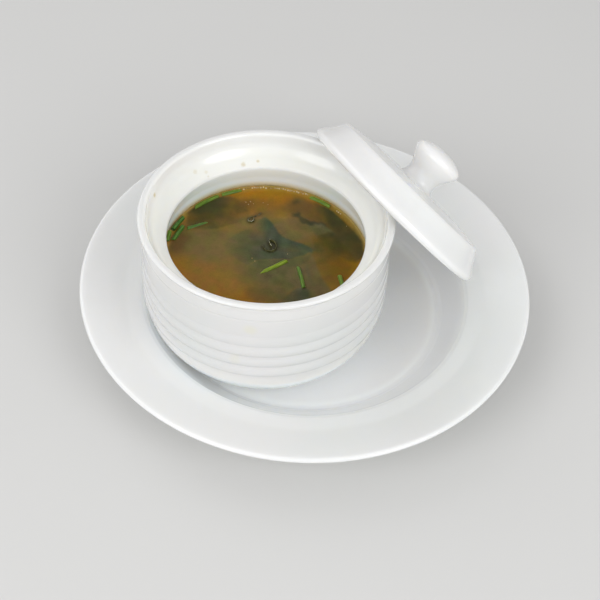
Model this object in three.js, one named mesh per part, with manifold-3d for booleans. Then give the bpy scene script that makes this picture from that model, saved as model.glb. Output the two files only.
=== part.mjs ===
// Miso soup in its lidded porcelain pot. The pot is ringed low down and full almost to its inner
// ledge, cut chives and two curls of seaweed float on the broth, the lid leans over the pot's lip,
// and everything stands on a wide-rimmed under-plate.
//
// Millimetres, +Z up. The origin is the middle of the plate, on the table that it stands on.

import * as THREE from 'three';
import { mergeVertices } from 'three/addons/utils/BufferGeometryUtils.js';
import Module from 'manifold-3d';

const wasm = await Module();
wasm.setup();

// ---- Driving dimensions -------------------------------------------------------------------

const GAP = 0.3; // clearance left between pieces that touch
const SIDES = 56; // sides of a turned piece

const PLATE = {
  radius: 104.8,
  height: 24.8,
  edge: 1.2, // radius of the rolled edge
  bend: 84.5, // where the rim starts to climb more steeply
  bendHeight: 18,
  wellTop: 75.6, // rim side of the well's wall
  wellTopHeight: 16.6,
  wellBottom: 64.6,
  floor: 6, // top of the well's floor
  wall: 3.8, // thickness of floor, wall and rim
  footInner: 60,
  footOuter: 65,
};

const POT = {
  x: -18.44,
  y: -13.36,
  height: 69.7,
  lipRadius: 55.3,
  lipOuter: 0.9, // rounding of the lip's outer corner
  lipInner: 1.4, // rounding of its inner corner
  lipInside: 51.9,
  body: 54.2, // outside radius of the straight wall
  ledgeTop: 8.2, // depth of the lid's ledge under the lip, at the wall
  ledgeEdge: 12.8, // depth of the ledge's inner edge
  mouth: 43.3, // radius inside the ledge
  throat: 20.5, // depth at which the wall has widened again under the ledge
  soupRadius: 46.2, // inside radius at the soup's level
  belly: 46.8, // inside radius where the bottom starts to turn in
  bellyDepth: 44, // depth of that turn under the lip
  turn: 27.4, // radius that the bottom's two turns are centred on
  footInner: 30,
  footOuter: 34.8,
  footHollow: 2.2,
  ringFrom: 25.9, // depth of the first groove between the rings
  ringPitch: 6.4,
  rings: 3,
  ringSwell: 0.7, // how far a ring swells out of its grooves
};

const SOUP = {
  depth: 27.3, // surface's depth under the lip
  clearance: 0.35, // how far it is cut back round what floats in it
};

const LID = {
  radius: 49.05,
  shoulder: 41.9, // radius where the sloping side would meet the top
  height: 13.55, // rim to shoulder
  rimRound: 2.3, // rounding of the rim's outer corner
  shoulderRound: 1.8,
  flankSwell: 0.3, // how far the sloping side bulges
  dome: 2, // how far the top swells above its shoulder
  rim: 3.6, // width of the rim's underside, rounding and all
  hollow: 8, // depth of the hollow underneath, near its wall
  hollowDome: 1.6, // how much deeper it is in the middle
  neck: 8.05, // knob's narrowest radius
  neckHeight: 5.4, // where it starts to flare
  knob: 12.45, // knob's widest radius
  knobRound: 3, // rounding of the knob's edge
  knobDome: 0.8, // how far its face swells
  knobHeight: 19.3,
  // How it leans: the middle of its rim, from the pot's axis and lip, and the way its knob points.
  x: 55.72,
  y: 32.79,
  z: -23.5,
  tilt: 51.85, // degrees from upright
  heading: 34.3, // degrees from +X towards +Y
};

const CHIVE = { sides: 8, steps: 4 };

// Cut chives. Each runs between two ends, given from the pot's axis. rise lifts an end above the
// soup's level, bow pushes the middle away from the axis, and radius is half the stem's width.
const CHIVES = [
  { from: [-35.1, 27.8], to: [-24.5, 37.3], rise: [0.3, 0.2], bow: 0.45, radius: 1.05 },
  { from: [-23.2, 38], to: [-14, 42.2], rise: [0.2, 0.3], bow: 0.2, radius: 1 },
  { from: [-39, 21.8], to: [-42.9, 12.2], rise: [0.3, 1.2], bow: 0.15, radius: 1.05 },
  { from: [-38.6, 16.1], to: [-42.4, 5.7], rise: [0.2, 0.2], bow: 0, radius: 1.05 },
  { from: [-43.6, 9.4], to: [-44.5, 4.8], rise: [3.4, 1], bow: 0, radius: 0.85 },
  { from: [-36.9, 14.3], to: [-26.3, 20.2], rise: [0.1, -0.5], bow: 0.3, radius: 0.85 },
  { from: [18.1, 40.4], to: [28, 34.3], rise: [0.2, 0.3], bow: 0.3, radius: 1 },
  { from: [-2.3, -10.6], to: [9.6, -1.9], rise: [0, 0.3], bow: 0.35, radius: 0.95 },
  { from: [14.6, -5.1], to: [17.8, -18.2], rise: [0.2, 0.1], bow: 0.2, radius: 0.85 },
  { from: [33.1, -9.2], to: [35, -18.2], rise: [0.3, 0.2], bow: 0.2, radius: 0.9 },
];

// Seaweed that breaks the surface: ribbons that follow a curve seen from above, from the pot's
// axis, with their top edge at the given heights above the soup's level.
const SEAWEED = { thickness: 0.5, depth: 2.2, ripple: 0.25, steps: 28 };
const CURLS = {
  wakame_curl: {
    points: [
      [-1.8, 6.2], [-1.2, 4.8], [0.4, 3.6], [2.4, 3.4], [3.9, 4.7], [4.2, 6.9],
      [3.5, 8.9], [2.2, 9.9], [1.1, 9.2], [1.1, 7.8], [1.7, 6.5], [2, 5.4],
    ],
    heights: [0.5, 1.7],
  },
  wakame_stem: {
    points: [
      [-7.4, 23.3], [-7, 22.3], [-8.1, 21.4], [-9.4, 21.8], [-9.5, 23],
      [-8.8, 24.2], [-7.4, 25], [-5.7, 26], [-3.8, 27.6],
    ],
    heights: [0.9, 0.1],
  },
};

// ---- Materials ----------------------------------------------------------------------------

const material = (color, roughness) => new THREE.MeshStandardMaterial({ color, roughness, metalness: 0 });
const MATERIALS = {
  plate: material('#dfe3e2', 0.18),
  pot: material('#e6e6e0', 0.18),
  lid: material('#e9e9e8', 0.18),
  soup: material('#8a5a18', 0.12),
  chive: material('#5f9a25', 0.4),
  seaweed: material('#2c3a1a', 0.3),
};

// ---- Helpers ------------------------------------------------------------------------------

const degrees = Math.PI / 180;

// Points on a circle round (r, z), for the round stretches of a turned profile.
function arc(r, z, radius, from, to, steps) {
  return Array.from({ length: steps + 1 }, (_, i) => {
    const angle = (from + ((to - from) * i) / steps) * degrees;
    return [r + radius * Math.cos(angle), z + radius * Math.sin(angle)];
  });
}

// A closed body turned about +Z. The profile runs from the axis, out along the underside, up the
// outside and back in to the axis over the top.
function turned(profile) {
  const points = profile.map(([r, z]) => new THREE.Vector2(r, z));
  return new THREE.LatheGeometry(points, SIDES).rotateX(90 * degrees);
}

// A three.js geometry as a solid. Triangles that have shrunk to a line at a pole are dropped.
function solid(geometry) {
  const bare = geometry.clone();
  bare.deleteAttribute('normal');
  bare.deleteAttribute('uv');
  const merged = mergeVertices(bare, 1e-4);
  const corners = [];
  for (let i = 0; i < merged.index.count; i += 3) {
    const [a, b, c] = [0, 1, 2].map((k) => merged.index.getX(i + k));
    if (a !== b && b !== c && c !== a) corners.push(a, b, c);
  }
  return new wasm.Manifold(new wasm.Mesh({
    numProp: 3,
    vertProperties: new Float32Array(merged.attributes.position.array),
    triVerts: new Uint32Array(corners),
  }));
}

function geometryOf(body) {
  const { vertProperties, triVerts } = body.getMesh();
  const geometry = new THREE.BufferGeometry();
  geometry.setAttribute('position', new THREE.BufferAttribute(vertProperties, 3));
  geometry.setIndex(new THREE.BufferAttribute(triVerts, 1));
  return geometry;
}

function mesh(name, geometry, finish) {
  const piece = new THREE.Mesh(geometry, finish);
  piece.name = name;
  return piece;
}

// ---- Plate --------------------------------------------------------------------------------

function plate() {
  const p = PLATE;
  const edgeRadius = p.radius - p.edge;
  const edgeHeight = p.height - p.edge;
  const profile = [
    [0, p.floor - p.wall],
    [p.footInner - 0.8, p.floor - p.wall],
    [p.footInner, 0],
    [p.footOuter - 0.8, 0],
    [p.footOuter, 1],
    [p.wellTop - p.wall * 0.6, p.wellTopHeight - p.wall - 0.8],
    [p.bend, p.bendHeight - p.wall],
    ...arc(edgeRadius, edgeHeight, p.edge, -70, 110, 5),
    [p.bend, p.bendHeight],
    [p.wellTop + 1.6, p.wellTopHeight + 0.35],
    [p.wellTop, p.wellTopHeight - 0.4],
    [p.wellTop - 1.2, p.wellTopHeight - 1.6],
    [p.wellBottom + 1.6, p.floor + 1.3],
    [p.wellBottom, p.floor + 0.3],
    [p.wellBottom - 1.8, p.floor],
    [0, p.floor],
  ];
  return mesh('plate', turned(profile), MATERIALS.plate);
}

// ---- Pot and soup -------------------------------------------------------------------------

// The inside of the pot from the middle of its floor up to the ledge's edge, drawn at a distance
// in from the wall. Heights are from the lip. The soup's own side is the same line, up to its level.
function inside(offset) {
  const p = POT;
  const turnRadius = p.belly - p.turn - offset;
  return [
    [0, -p.bellyDepth - turnRadius],
    ...arc(p.turn, -p.bellyDepth, turnRadius, -90, 0, 6),
    [p.soupRadius - offset, -SOUP.depth],
  ];
}

function ringed() {
  const p = POT;
  const rows = [];
  for (let ring = p.rings - 1; ring >= -1; ring -= 1) {
    const bottom = -p.ringFrom - (ring + 1) * p.ringPitch;
    for (const [share, swell] of [[0, 0], [0.25, 0.85], [0.75, 0.85]]) {
      rows.push([p.body + p.ringSwell * swell * (ring < 0 ? 0.5 : 1), bottom + share * p.ringPitch]);
    }
  }
  return rows;
}

function pot() {
  const p = POT;
  const base = -p.height;
  const outerTurn = p.body - p.turn;
  const profile = [
    [0, base + p.footHollow],
    [p.footInner - 0.8, base + p.footHollow],
    [p.footInner, base],
    [p.footOuter - 0.6, base],
    ...arc(p.turn, -p.bellyDepth, outerTurn, -71, -9, 5),
    ...ringed(),
    [p.body, -p.ringFrom + p.ringPitch],
    [p.body, -10.5],
    [p.body - 0.18, -9.8],
    [p.body, -9.1],
    [p.body, -3.2],
    ...arc(p.lipRadius - p.lipOuter, -p.lipOuter, p.lipOuter, -50, 90, 3),
    ...arc(p.lipInside + p.lipInner, -p.lipInner, p.lipInner, 90, 180, 3),
    [p.lipInside - 0.4, -p.ledgeTop + 3.6],
    [p.lipInside - 1.3, -p.ledgeTop + 1.5],
    [p.lipInside - 2.6, -p.ledgeTop - 0.5],
    [p.lipInside - 4.4, -p.ledgeTop - 2.3],
    [p.mouth + 1.6, -p.ledgeEdge + 0.9],
    [p.mouth + 0.3, -p.ledgeEdge + 0.1],
    [p.mouth, -p.ledgeEdge - 0.9],
    [p.soupRadius - 0.8, -p.throat],
    ...inside(0).reverse(),
  ];
  return mesh('pot', turned(profile), MATERIALS.pot);
}

// ---- Chives -------------------------------------------------------------------------------

function alongStem({ from, to, rise, bow }) {
  const start = new THREE.Vector3(...from, -SOUP.depth + rise[0]);
  const end = new THREE.Vector3(...to, -SOUP.depth + rise[1]);
  const middle = start.clone().add(end).divideScalar(2);
  const outward = new THREE.Vector3(middle.x, middle.y, 0).normalize();
  return [start, middle.addScaledVector(outward, bow), end];
}

// A stem drawn thicker and longer than it is, by spare, is what the soup is cut back to.
function stem(chive, spare = 0) {
  const [start, middle, end] = alongStem(chive);
  const run = end.clone().sub(start).normalize();
  start.addScaledVector(run, -spare);
  end.addScaledVector(run, spare);
  const section = new THREE.Shape();
  const ring = arc(0, 0, chive.radius + spare, 0, 360, CHIVE.sides).slice(0, -1);
  section.setFromPoints(ring.map(([x, y]) => new THREE.Vector2(x, y)));
  const route = new THREE.CatmullRomCurve3([start, middle, end]);
  return new THREE.ExtrudeGeometry(section, { steps: CHIVE.steps, extrudePath: route });
}

// ---- Seaweed ------------------------------------------------------------------------------

// A standing ribbon: its route seen from above, a flat bottom under the surface, and a rippled top
// edge. Spare makes the wider and deeper body that the soup is cut back to.
function ribbon({ points, heights }, spare = 0) {
  const s = SEAWEED;
  const route = new THREE.CatmullRomCurve3(points.map(([x, y]) => new THREE.Vector3(x, y, 0)));
  const half = s.thickness / 2 + spare;
  const bottom = -SOUP.depth - s.depth - spare;
  const positions = [];
  for (let i = 0; i <= s.steps; i += 1) {
    const share = i / s.steps;
    const at = route.getPointAt(share);
    const along = route.getTangentAt(share);
    if (i === 0) at.addScaledVector(along, -spare);
    if (i === s.steps) at.addScaledVector(along, spare);
    const side = new THREE.Vector3(-along.y, along.x, 0).multiplyScalar(half);
    const ripple = s.ripple * Math.sin(i * 1.9);
    const top = -SOUP.depth + heights[0] + (heights[1] - heights[0]) * share + ripple + spare * 4;
    for (const [sign, z] of [[-1, bottom], [1, bottom], [1, top], [-1, top]]) {
      positions.push(at.x + sign * side.x, at.y + sign * side.y, z);
    }
  }
  const faces = [];
  const quad = (a, b, c, d) => faces.push(a, c, b, a, d, c);
  for (let i = 0; i < s.steps; i += 1) {
    for (let k = 0; k < 4; k += 1) {
      const next = (k + 1) % 4;
      quad(i * 4 + k, i * 4 + 4 + k, i * 4 + 4 + next, i * 4 + next);
    }
  }
  const last = s.steps * 4;
  quad(0, 1, 2, 3);
  quad(last + 3, last + 2, last + 1, last);
  const geometry = new THREE.BufferGeometry();
  geometry.setAttribute('position', new THREE.Float32BufferAttribute(positions, 3));
  geometry.setIndex(faces);
  return geometry;
}

// ---- Soup ---------------------------------------------------------------------------------

function soup() {
  let body = solid(turned([...inside(GAP), [0, -SOUP.depth]]));
  for (const chive of CHIVES) body = body.subtract(solid(stem(chive, SOUP.clearance)));
  for (const curl of Object.values(CURLS)) body = body.subtract(solid(ribbon(curl, SOUP.clearance)));
  return mesh('soup', geometryOf(body), MATERIALS.soup);
}

// ---- Lid ----------------------------------------------------------------------------------

function lid() {
  const l = LID;
  const slope = Math.atan2(l.radius - l.shoulder, l.height);
  const flank = slope / degrees;
  const swell = [l.flankSwell * Math.cos(slope), l.flankSwell * Math.sin(slope)];
  const shoulder = arc(
    l.shoulder - l.shoulderRound * Math.cos(slope),
    l.height - l.shoulderRound * (0.3 + Math.sin(slope)),
    l.shoulderRound, flank + 4, 80, 3,
  );
  const top = shoulder.at(-1)[1] + l.dome;
  const crown = top + l.knobHeight;
  const wall = l.radius - l.rim; // inside radius of the rim
  const profile = [
    [0, l.hollow + l.hollowDome],
    [20, l.hollow + l.hollowDome * 0.75],
    [wall - 8, l.hollow],
    [wall - 4.6, l.hollow - 1.2],
    [wall - 2.4, l.hollow - 3.6],
    [wall - 0.5, 1.2],
    [wall + 0.4, 0],
    ...arc(l.radius - l.rimRound, l.rimRound, l.rimRound, -90, flank - 4, 4),
    [(l.radius + l.shoulder) / 2 + swell[0], l.height / 2 + swell[1]],
    ...shoulder,
    [l.shoulder * 0.68, top - 0.1],
    [l.neck + 1.9, top],
    [l.neck + 0.6, top + 1.1],
    [l.neck, top + 2.6],
    [l.neck, top + l.neckHeight],
    [l.neck + 0.6, top + l.neckHeight + 1.7],
    ...arc(l.knob - l.knobRound, crown - l.knobDome - l.knobRound * 1.45, l.knobRound, -32, 55, 4),
    [l.knob * 0.66, crown - l.knobDome],
    [l.knob * 0.35, crown - l.knobDome * 0.25],
    [0, crown],
  ];
  return mesh('lid', turned(profile), MATERIALS.lid);
}

// ---- Scene graph --------------------------------------------------------------------------

const lipHeight = PLATE.floor + GAP + POT.height;

const potStand = new THREE.Group(); // the pot's axis, at the height of its lip
potStand.position.set(POT.x, POT.y, lipHeight);
potStand.add(pot(), soup());
CHIVES.forEach((chive, i) => potStand.add(mesh(`chive_${i + 1}`, stem(chive), MATERIALS.chive)));
for (const [name, curl] of Object.entries(CURLS)) {
  potStand.add(mesh(name, ribbon(curl), MATERIALS.seaweed));
}

const lean = new THREE.Group(); // turns the lid's axis from upright to the way it leans
lean.position.set(LID.x, LID.y, LID.z);
lean.rotation.set(0, LID.tilt * degrees, LID.heading * degrees, 'ZYX');
lean.add(lid());
potStand.add(lean);

const misoSoup = new THREE.Group();
misoSoup.add(plate(), potStand);

export default misoSoup;
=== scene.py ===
# %% [markdown]
# # Miso soup in its lidded pot
# A ringed porcelain pot of miso soup stands off-centre on a wide-rimmed plate, and its knobbed lid
# leans on the pot's lip. The measured solids are already in the frame. Each piece that has a solid is
# built again where that solid stands, with a finer surface and a finish. What has none, such as the
# sunk leaves, is placed from the pot's axis and the soup's level. Sizes are written in millimetres
# and turned to metres by MM.

# %% Open the frame
import math
import random

import bmesh
import bpy
from mathutils import Euler, Matrix, Vector, noise


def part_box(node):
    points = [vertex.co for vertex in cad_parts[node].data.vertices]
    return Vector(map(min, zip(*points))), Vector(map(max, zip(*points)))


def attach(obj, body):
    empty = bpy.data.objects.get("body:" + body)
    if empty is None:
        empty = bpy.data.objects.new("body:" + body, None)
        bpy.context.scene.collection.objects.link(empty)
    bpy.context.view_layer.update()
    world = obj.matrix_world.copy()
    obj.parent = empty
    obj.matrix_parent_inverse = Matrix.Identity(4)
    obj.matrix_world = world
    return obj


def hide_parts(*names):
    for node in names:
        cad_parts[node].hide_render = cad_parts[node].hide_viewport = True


MM = 0.001
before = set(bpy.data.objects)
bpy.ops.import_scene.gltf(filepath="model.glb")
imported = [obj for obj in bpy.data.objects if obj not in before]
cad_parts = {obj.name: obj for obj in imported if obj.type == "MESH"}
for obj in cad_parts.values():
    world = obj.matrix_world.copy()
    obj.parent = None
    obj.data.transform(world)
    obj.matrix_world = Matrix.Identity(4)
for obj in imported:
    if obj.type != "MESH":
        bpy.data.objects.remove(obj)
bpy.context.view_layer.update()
scene = bpy.context.scene
print("nodes in the frame:", ", ".join(sorted(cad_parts)))

# %% [markdown]
# The pot, its soup and its garnish share one upright axis. Reading the axis and the lip from the
# frame, and finding the soup's level down from the lip, keeps every later piece true to the solids.

# %% Read the pot's axis, the lip and the soup's level
SOUP_DEPTH = 27.3  # below the lip
pot_low, pot_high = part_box("pot")
POT_AXIS = Vector(((pot_low.x + pot_high.x) / 2, (pot_low.y + pot_high.y) / 2, 0))
LIP = pot_high.z
SOUP_LEVEL = LIP - SOUP_DEPTH * MM
PLATE_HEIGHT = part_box("plate")[1].z


def from_soup(x, y, z=0.0):
    """A place given in millimetres from where the pot's axis meets the soup's surface."""
    return POT_AXIS + Vector((x, y, z)) * MM + Vector((0, 0, SOUP_LEVEL))


print(f"pot axis {POT_AXIS.x:.4f}, {POT_AXIS.y:.4f}; lip {LIP:.4f}; soup {SOUP_LEVEL:.4f}")

# %% [markdown]
# The camera looks down at the table at a steep angle with a long lens and leans a little to one side.
# It comes first, so that every other choice can be judged in the view that matters.

# %% Set the camera
PICTURE_WIDTH = 600  # pixels
FOCAL_LENGTH = 1150  # pixels
SENSOR_WIDTH = 36
CAMERA_PLACE = Vector((-1.995, -372.108, 414.823)) * MM
CAMERA_DOWN = 47.636  # degrees below the horizon
CAMERA_ROLL = 3.531  # degrees

camera_data = bpy.data.cameras.new("Camera")
camera_data.sensor_width = SENSOR_WIDTH
camera_data.lens = SENSOR_WIDTH * FOCAL_LENGTH / PICTURE_WIDTH
camera_data.clip_start = 0.01
camera = bpy.data.objects.new("Camera", camera_data)
scene.collection.objects.link(camera)
tilt = Matrix.Rotation(math.radians(90 - CAMERA_DOWN), 4, "X")
roll = Matrix.Rotation(math.radians(CAMERA_ROLL), 4, "Z")
camera.matrix_world = Matrix.Translation(CAMERA_PLACE) @ tilt @ roll
scene.camera = camera
scene.view_settings.view_transform = "Standard"
print(f"camera lens {camera_data.lens:.1f} mm")

# %% [markdown]
# Node trees, for shapes and for finishes, are written with one small helper: it adds a node, sets its
# options, and fills or links its sockets. Colours are given as they look on a screen, from 0 to 255,
# and turned to the linear values that Blender works in.


# %% Helpers for node trees and colours
def put(tree, kind, inputs=None, **options):
    """Add a node. A value that is a socket is linked, and any other value is set."""
    node = tree.nodes.new(kind)
    for name, value in options.items():
        setattr(node, name, value)
    for name, value in (inputs or {}).items():
        if isinstance(value, bpy.types.NodeSocket):
            tree.links.new(value, node.inputs[name])
        else:
            node.inputs[name].default_value = value
    return node


def screen(red, green, blue):
    """A colour as it looks on a screen, as linear light."""

    def linear(level):
        share = level / 255
        return share / 12.92 if share <= 0.04045 else ((share + 0.055) / 1.055) ** 2.4

    return (linear(red), linear(green), linear(blue), 1)


def maths(tree, operation, first, second=0.0):
    return put(tree, "ShaderNodeMath", {0: first, 1: second}, operation=operation).outputs[0]


def vector_maths(tree, operation, first, second=(0, 0, 0), third=(0, 0, 0)):
    node = put(tree, "ShaderNodeVectorMath", {0: first, 1: second, 2: third}, operation=operation)
    return node.outputs["Value" if operation in ("DISTANCE", "LENGTH") else "Vector"]


def blend(tree, amount, first, second, way="MIX"):
    """Mix two colours."""
    inputs = {0: amount, 6: first, 7: second}
    return put(tree, "ShaderNodeMix", inputs, data_type="RGBA", blend_type=way).outputs[2]


def remap(tree, value, low, high, to_low=0.0, to_high=1.0, smooth=False):
    kind = "SMOOTHSTEP" if smooth else "LINEAR"
    inputs = {"Value": value, "From Min": low, "From Max": high, "To Min": to_low, "To Max": to_high}
    return put(tree, "ShaderNodeMapRange", inputs, interpolation_type=kind).outputs["Result"]


def soft_edge(tree, value, edge, start=0.0, most=1.0):
    """From 0 to most between the two ends of an edge, in millimetres from a start in metres."""
    low, high = (start + end * MM for end in edge)
    return remap(tree, value, low, high, 0, most, smooth=True)


def speckle(tree, where, scale, detail=2.0, roughness=0.5, warp=0.0, output=0):
    """Soft noise from 0 to 1 over a position."""
    inputs = {"Vector": where, "Scale": scale, "Detail": detail, "Roughness": roughness, "Distortion": warp}
    return put(tree, "ShaderNodeTexNoise", inputs).outputs[output]


# %% [markdown]
# Every finish is one Principled shader. Its pattern is read from the piece's own Object coordinates or
# from values that the mesh keeps on its points, and relief finer than the mesh is added as a bump.


# %% Helpers for finishes
def new_finish(name, roughness, ior=1.5):
    """A material with its Principled shader, ready to be given a colour."""
    finish = bpy.data.materials.new(name)
    finish.use_nodes = True
    tree = finish.node_tree
    shader = tree.nodes["Principled BSDF"]
    shader.inputs["Roughness"].default_value = roughness
    shader.inputs["IOR"].default_value = ior
    return finish, tree, shader


def object_place(tree):
    return put(tree, "ShaderNodeTexCoord").outputs["Object"]


def kept_value(tree, name, output="Fac"):
    return put(tree, "ShaderNodeAttribute", attribute_name=name).outputs[output]


def wire_up(tree, shader, colour, height=None, strength=0.0, depth=0.0):
    """Link the colour and, if a height is given, a bump of that depth in millimetres."""
    tree.links.new(colour, shader.inputs["Base Color"])
    if height is not None:
        inputs = {"Height": height, "Strength": strength, "Distance": depth * MM}
        bump = put(tree, "ShaderNodeBump", inputs)
        tree.links.new(bump.outputs["Normal"], shader.inputs["Normal"])


# %% [markdown]
# All three pieces of porcelain wear the same kind of glaze, each in its own shade of white. A real
# glaze is never one flat white: it pools faintly blue-green where it is thick, its skin has a very
# shallow orange-peel, and it shines a little less where hands and cloths have rubbed it. Those are
# noises of different sizes. Porcelain also lets some light through, which softens its grooves and
# hollows. The numbers that are the same all over are set on the shader's own sockets.

# %% Mix the glaze
POOLED = (0.97, 1, 0.99, 1)  # how a thick place tints the glaze
GLAZE_BODY = {
    "Coat Weight": 0.35,
    "Coat Roughness": 0.05,
    "Subsurface Weight": 1,
    "Subsurface Radius": (1, 0.95, 0.85),
    "Subsurface Scale": 0.01,
}


def glaze_finish(name, white, tint=None):
    """White glaze. tint, if given, takes the tree, the position and the colour, and paints light or stains on
    it.
    """
    finish, tree, shader = new_finish(name, 0.2)
    where = object_place(tree)
    pooled = remap(tree, speckle(tree, where, 16, 3), 0.42, 0.68)
    colour = blend(tree, pooled, white, POOLED, "MULTIPLY")
    if tint:
        colour = tint(tree, where, colour)
    rubbed = remap(tree, speckle(tree, where, 45, 4), 0.35, 0.7, 0.14, 0.26)
    tree.links.new(rubbed, shader.inputs["Roughness"])
    pits = maths(tree, "MULTIPLY", speckle(tree, where, 700), 0.15)
    peel = maths(tree, "ADD", speckle(tree, where, 160, 1), pits)
    wire_up(tree, shader, colour, peel, 0.25, 0.1)
    for socket, value in GLAZE_BODY.items():
        shader.inputs[socket].default_value = value
    return finish


# %% [markdown]
# The glaze is painted whiter where the pieces shade themselves, as painted light: in the well of the
# plate, most of all on the step round it, and at the foot and inside of the pot, whose inner wall is
# painted a little bluer against the warm light that the broth throws on it. The soup has stained that
# wall at the waterline, and the pot carries a few small tea-brown specks and two faint drips. Each tint
# sets in over a soft edge, and noise pushes the rims of the stains about so that none is a clean round.

# %% Paint light into the glaze and stain it
# painted light: whiter glaze that lifts the shade in the plate's well, at the pot's foot and inside it
PAINTED_LIGHT_INSIDE = screen(236, 237, 233)
PAINTED_LIGHT_INNER_WALL = screen(240, 247, 253)
PAINTED_LIGHT_WHITE = screen(240, 238, 234)
PAINTED_LIGHT_WHITEST = screen(250, 252, 246)
SPECK_BROWN = screen(196, 176, 120)
DRIP_YELLOW = screen(214, 212, 184)
WATERLINE = screen(222, 204, 142)
# an edge is where a tint sets in and where it is full
PLATE_STEP_EDGE = (77.5, 73.5)  # from the plate's middle
PLATE_WELL_EDGE = (64, 59)
BELLY_EDGE = (-42, -56)  # from the lip
FOOT_EDGE = (-54, -61)
BELOW_LEDGE_EDGE = (-12.2, -15.2)
INSIDE_EDGE = (53.5, 52)  # from the pot's axis
SPLASH_EDGE = (5.2, 0.6)  # from the soup's level
SPLASH_FOOT = (-4, -2)
SPLASH_STRENGTH = 0.85
STAIN_WOBBLE = 0.8
STAIN_CORE = 0.25  # of the radius, inside which a stain has its full strength
# x, y and z from the pot's axis and lip, radius and strength
SPECKS = [
    ((-13.6, 43.4, -12.2), 1.7, 0.5),
    ((-6.9, 45.6, -11.4), 1.1, 0.5),
    ((-50.2, 11.6, -5.0), 1.5, 0.6),
    ((-34.7, 33.8, -9.8), 1.6, 0.22),
    ((-29.9, 35.6, -11.2), 1.3, 0.2),
    ((-28.9, 34.0, -12.6), 1.0, 0.3),
    ((38.4, -38.2, -29.6), 0.9, 0.3),
]
DRIPS = [((-3.1, -54.1, -15.1), 4.0, 0.3), ((-9.2, -53.4, -34.5), 3.5, 0.22)]


def stain(tree, where, colour, spots, tone):
    """Blend in round spots with uneven rims."""
    wobble = speckle(tree, where, 900, 2, output="Color")
    pushed = vector_maths(tree, "MULTIPLY_ADD", wobble, (STAIN_WOBBLE * MM,) * 3, where)
    for place, radius, strength in spots:
        from_lip = Vector(place) + Vector((STAIN_WOBBLE / 2,) * 3)
        middle = POT_AXIS + Vector((0, 0, LIP)) + from_lip * MM
        away = vector_maths(tree, "DISTANCE", pushed, middle)
        amount = soft_edge(tree, away, (radius, STAIN_CORE * radius), most=strength)
        colour = blend(tree, amount, colour, tone)
    return colour


def plate_painted_light(tree, where, colour):
    """Painted light: the well whiter than the rim and the step round it the whitest, lifting the shade."""
    from_middle = vector_maths(tree, "LENGTH", vector_maths(tree, "MULTIPLY", where, (1, 1, 0)))
    colour = blend(tree, soft_edge(tree, from_middle, PLATE_STEP_EDGE), colour, PAINTED_LIGHT_WHITEST)
    return blend(tree, soft_edge(tree, from_middle, PLATE_WELL_EDGE), colour, PAINTED_LIGHT_WHITE)


def pot_painted_light_and_stains(tree, where, colour):
    """Painted light, whiter at the foot and inside, and stains at the waterline, specks and drips."""
    flat = vector_maths(tree, "MULTIPLY", where, (1, 1, 0))
    from_axis = vector_maths(tree, "DISTANCE", flat, POT_AXIS)
    height = put(tree, "ShaderNodeSeparateXYZ", {0: where}).outputs["Z"]
    inside = soft_edge(tree, from_axis, INSIDE_EDGE)
    below = soft_edge(tree, height, BELOW_LEDGE_EDGE, LIP)
    splashed = soft_edge(tree, height, SPLASH_EDGE, SOUP_LEVEL, SPLASH_STRENGTH)
    wetted = remap(tree, height, *(SOUP_LEVEL + end * MM for end in SPLASH_FOOT))
    waterline = maths(tree, "MULTIPLY", splashed, wetted)
    # painted light at the belly, the foot and inside the pot, then the waterline stain
    for amount, tone in (
        (soft_edge(tree, height, BELLY_EDGE, LIP), PAINTED_LIGHT_WHITE),
        (soft_edge(tree, height, FOOT_EDGE, LIP), PAINTED_LIGHT_WHITEST),
        (inside, PAINTED_LIGHT_INSIDE),
        (maths(tree, "MULTIPLY", inside, below), PAINTED_LIGHT_INNER_WALL),
        (maths(tree, "MULTIPLY", inside, waterline), WATERLINE),
    ):
        colour = blend(tree, amount, colour, tone)
    colour = stain(tree, where, colour, SPECKS, SPECK_BROWN)
    return stain(tree, where, colour, DRIPS, DRIP_YELLOW)


plate_glaze = glaze_finish("plate_glaze", screen(229, 229, 228), plate_painted_light)
pot_glaze = glaze_finish("pot_glaze", screen(212, 212, 212), pot_painted_light_and_stains)
lid_glaze = glaze_finish("lid_glaze", screen(228, 228, 228))
print("glazes:", plate_glaze.name, pot_glaze.name, lid_glaze.name)

# %% [markdown]
# Plate, pot and lid are thrown on a wheel, so each is one outline turned about an upright axis. They
# could be lathed point by point in Python or with a Screw modifier, but a Geometry Nodes tree keeps
# the rule in view and its sizes adjustable: take a half outline drawn upright, round its corners by
# the radius that each corner carries, cut its long stretches short so that the shading stays even,
# and sweep it round a circle. The turned piece may then lean, for the lid, before it is glazed.

# %% Build the tree that turns an outline
TINY = 1e-6  # radius in metres of the circle that the outline is swept round


def shape_node(tree, kind, inputs=None, output=0, **options):
    """Add a Geometry Nodes node and give one of its outputs."""
    return put(tree, "GeometryNode" + kind, inputs, **options).outputs[output]


def new_shape_tree(name, sockets):
    tree = bpy.data.node_groups.new(name, "GeometryNodeTree")
    tree.interface.new_socket("Geometry", in_out="INPUT", socket_type="NodeSocketGeometry")
    for socket, kind in sockets.items():
        tree.interface.new_socket(socket, in_out="INPUT", socket_type=f"NodeSocket{kind}")
    tree.interface.new_socket("Geometry", in_out="OUTPUT", socket_type="NodeSocketGeometry")
    return tree, put(tree, "NodeGroupInput").outputs


def end_tree(tree, shape, finish):
    """Every tree ends smooth, in Realize Instances and Set Material."""
    smooth = shape_node(tree, "SetShadeSmooth", {"Geometry": shape})
    real = shape_node(tree, "RealizeInstances", {"Geometry": smooth})
    dressed = shape_node(tree, "SetMaterial", {"Geometry": real, "Material": finish})
    put(tree, "NodeGroupOutput", {0: dressed})


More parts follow.
